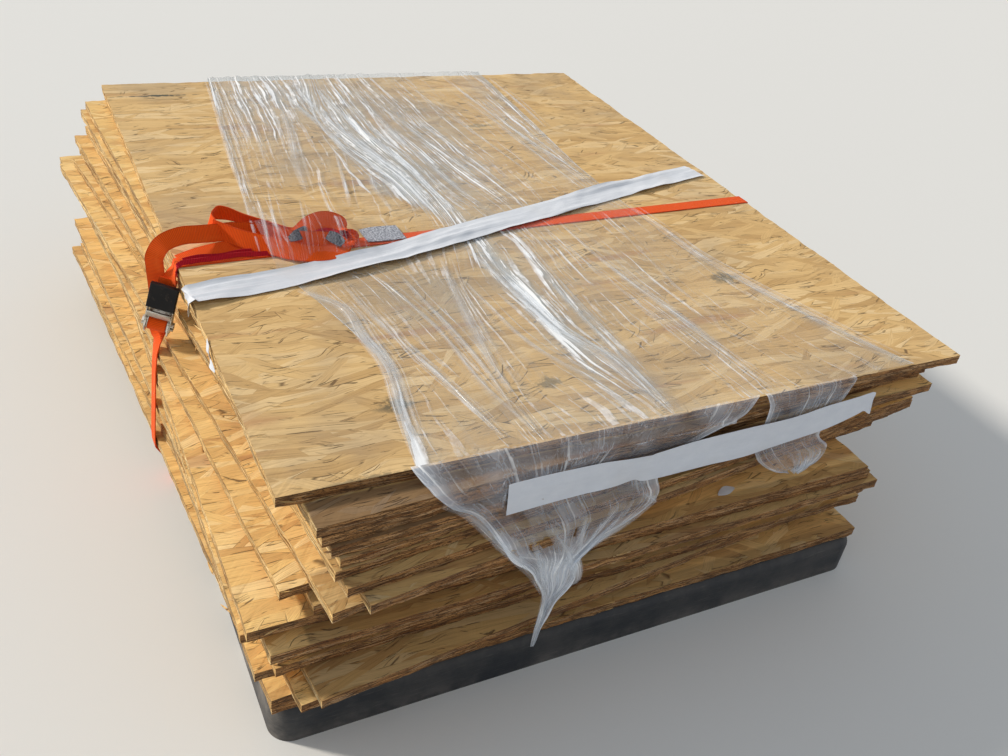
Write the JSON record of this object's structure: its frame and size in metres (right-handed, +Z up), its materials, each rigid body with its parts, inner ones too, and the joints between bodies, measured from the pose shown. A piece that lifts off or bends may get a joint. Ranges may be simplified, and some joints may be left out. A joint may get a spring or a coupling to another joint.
{
  "type": "stack of strand board sheets",
  "caption": "Stack of cut strand board sheets lying loosely on a low moulded plastic base, held by a ratchet lashing strap, white tape and clear stretch film",
  "frame": {"origin": "centre of the base's underside, on the floor", "axes": "+Z up, +Y along the sheets' length away from the front edge, +X to the right"},
  "size_m": [1.1133, 1.3644, 0.4314],
  "materials": {
    "top_board": "weathered strand board, matt",
    "board": "strand board, matt",
    "base_plastic": "smooth moulded plastic, dusty",
    "webbing": "woven polyester",
    "label": "woven label, plain",
    "zinc_steel": "zinc plated",
    "grip_plastic": "moulded, matt",
    "tape": "plastic tape, slightly glossy",
    "film": "clear stretch film"
  },
  "bodies": {
    "stack": {"base_slab": "base_plastic", "sheet_01": "top_board", "sheet_02": "board", "sheet_03": "board", "sheet_04": "board", "sheet_05": "board", "sheet_06": "board", "sheet_07": "board", "sheet_08": "board", "sheet_09": "board", "sheet_10": "board", "sheet_11": "board", "sheet_12": "board", "sheet_13": "board", "sheet_14": "board", "sheet_15": "board", "sheet_16": "board", "sheet_17": "board", "sheet_18": "board", "sheet_19": "board", "sheet_20": "board", "sheet_21": "board", "strap_webbing": "webbing", "strap_loose_end": "webbing", "strap_label": "label", "ratchet_frame": "zinc_steel", "ratchet_locking_pawl": "zinc_steel", "ratchet_spool": "zinc_steel", "ratchet_wheels": "zinc_steel", "ratchet_bolt": "zinc_steel", "tape_over_top": "tape", "tape_on_front": "tape", "tape_scrap": "tape", "film_over_top": "film", "film_hanging": "film", "film_pouch": "film"},
    "handle": {"ratchet_handle_arms": "zinc_steel", "ratchet_handle_grip": "grip_plastic", "ratchet_driving_pawl": "zinc_steel"}
  },
  "joints": [
    {"name": "handle_hinge", "type": "hinge", "parent": "stack", "child": "handle", "pos_m": [-0.49093, -0.07902, 0.29087], "axis": [0.8793, -0.4185, -0.2272], "range_deg": [0, 95]}
  ]
}
